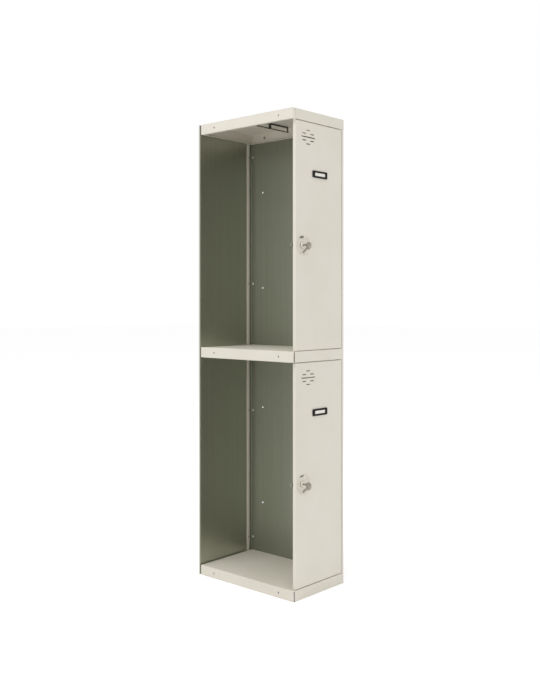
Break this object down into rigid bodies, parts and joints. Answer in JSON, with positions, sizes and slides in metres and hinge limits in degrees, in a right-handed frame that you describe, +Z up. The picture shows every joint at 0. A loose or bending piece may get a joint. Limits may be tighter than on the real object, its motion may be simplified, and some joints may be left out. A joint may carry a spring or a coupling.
{
  "type": "steel locker bay",
  "caption": "Add-on bay of a two-tier steel clothes locker: folded sheet trays, side and back panels, two vented doors with cam locks and keys, left side open to join the next bay.",
  "frame": {"origin": "on the floor, at the middle of the rectangle that the whole object covers with its keys and bolt heads", "axes": "+X to the right along the front, +Y from the front to the back, +Z up"},
  "size_m": [0.303, 0.5386, 1.8],
  "materials": {
    "light_paint": "warm pale grey powder coat, satin",
    "coated_panel": "pre-coated sheet: dark grey-green backing coat inside, warm pale grey outside",
    "dark_strap": "dark paint",
    "zinc": "zinc plated",
    "nickel": "nickel plated, satin",
    "black_plastic": "black moulded plastic, fine texture",
    "nylon": "natural nylon",
    "card": "white card with ruled lines"
  },
  "bodies": {
    "carcass": {"right_side_panel": "coated_panel", "back_panel": "coated_panel", "top_tray": "light_paint", "middle_shelf": "light_paint", "bottom_tray": "light_paint", "upper_hanger_rail": "dark_strap", "lower_hanger_rail": "dark_strap", "top_tray_front_bolt": "zinc", "top_tray_front_nut": "zinc", "top_tray_rear_bolt": "zinc", "top_tray_rear_nut": "zinc", "middle_shelf_front_bolt": "zinc", "middle_shelf_front_nut": "zinc", "middle_shelf_rear_bolt": "zinc", "middle_shelf_rear_nut": "zinc", "bottom_tray_front_bolt": "zinc", "bottom_tray_front_nut": "zinc", "bottom_tray_rear_bolt": "zinc", "bottom_tray_rear_nut": "zinc", "back_panel_screw_1": "zinc", "joining_hole_plug_1": "nylon", "back_panel_screw_2": "zinc", "joining_hole_plug_2": "nylon", "back_panel_screw_3": "zinc", "joining_hole_plug_3": "nylon", "back_panel_screw_4": "zinc", "joining_hole_plug_4": "nylon", "upper_door_top_pin": "zinc", "upper_door_bottom_pin": "zinc", "lower_door_top_pin": "zinc", "lower_door_bottom_pin": "zinc"},
    "upper_door": {"upper_door_panel": "light_paint", "upper_door_stiffener": "light_paint", "upper_top_bush": "nylon", "upper_bottom_bush": "nylon", "upper_card_holder": "black_plastic", "upper_card": "card", "upper_lock_body": "nickel", "upper_lock_nut": "zinc"},
    "upper_lock": {"upper_lock_plug": "nickel", "upper_lock_cam": "zinc", "upper_cam_nut": "zinc"},
    "upper_key_in_lock": {"upper_key": "nickel"},
    "upper_key_ring_set": {"upper_key_ring": "nickel", "upper_spare_key": "nickel"},
    "lower_door": {"lower_door_panel": "light_paint", "lower_door_stiffener": "light_paint", "lower_top_bush": "nylon", "lower_bottom_bush": "nylon", "lower_card_holder": "black_plastic", "lower_card": "card", "lower_lock_body": "nickel", "lower_lock_nut": "zinc"},
    "lower_lock": {"lower_lock_plug": "nickel", "lower_lock_cam": "zinc", "lower_cam_nut": "zinc"},
    "lower_key_in_lock": {"lower_key": "nickel"},
    "lower_key_ring_set": {"lower_key_ring": "nickel", "lower_spare_key": "nickel"}
  },
  "joints": [
    {"name": "upper_door_swing", "type": "hinge", "parent": "carcass", "child": "upper_door", "pos_m": [0.12895, -0.22416, 1.3355], "axis": [0, 0, 1], "range_deg": [0, 110]},
    {"name": "upper_lock_turn", "type": "hinge", "parent": "upper_door", "child": "upper_lock", "pos_m": [-0.09355, -0.22066, 1.301], "axis": [0, 1, 0], "range_deg": [0, 90]},
    {"name": "upper_key_slide", "type": "slide", "parent": "upper_lock", "child": "upper_key_in_lock", "axis": [0, -1, 0], "range_m": [0, 0.016]},
    {"name": "upper_key_ring_swing", "type": "hinge", "parent": "upper_key_in_lock", "child": "upper_key_ring_set", "pos_m": [-0.09485, -0.26216, 1.30006], "axis": [1, 0, 0], "range_deg": [-130, 6]},
    {"name": "lower_door_swing", "type": "hinge", "parent": "carcass", "child": "lower_door", "pos_m": [0.12895, -0.22416, 0.455], "axis": [0, 0, 1], "range_deg": [0, 110]},
    {"name": "lower_lock_turn", "type": "hinge", "parent": "lower_door", "child": "lower_lock", "pos_m": [-0.09355, -0.22066, 0.4205], "axis": [0, 1, 0], "range_deg": [0, 90]},
    {"name": "lower_key_slide", "type": "slide", "parent": "lower_lock", "child": "lower_key_in_lock", "axis": [0, -1, 0], "range_m": [0, 0.016]},
    {"name": "lower_key_ring_swing", "type": "hinge", "parent": "lower_key_in_lock", "child": "lower_key_ring_set", "pos_m": [-0.09485, -0.26216, 0.41956], "axis": [1, 0, 0], "range_deg": [-130, 6]}
  ]
}
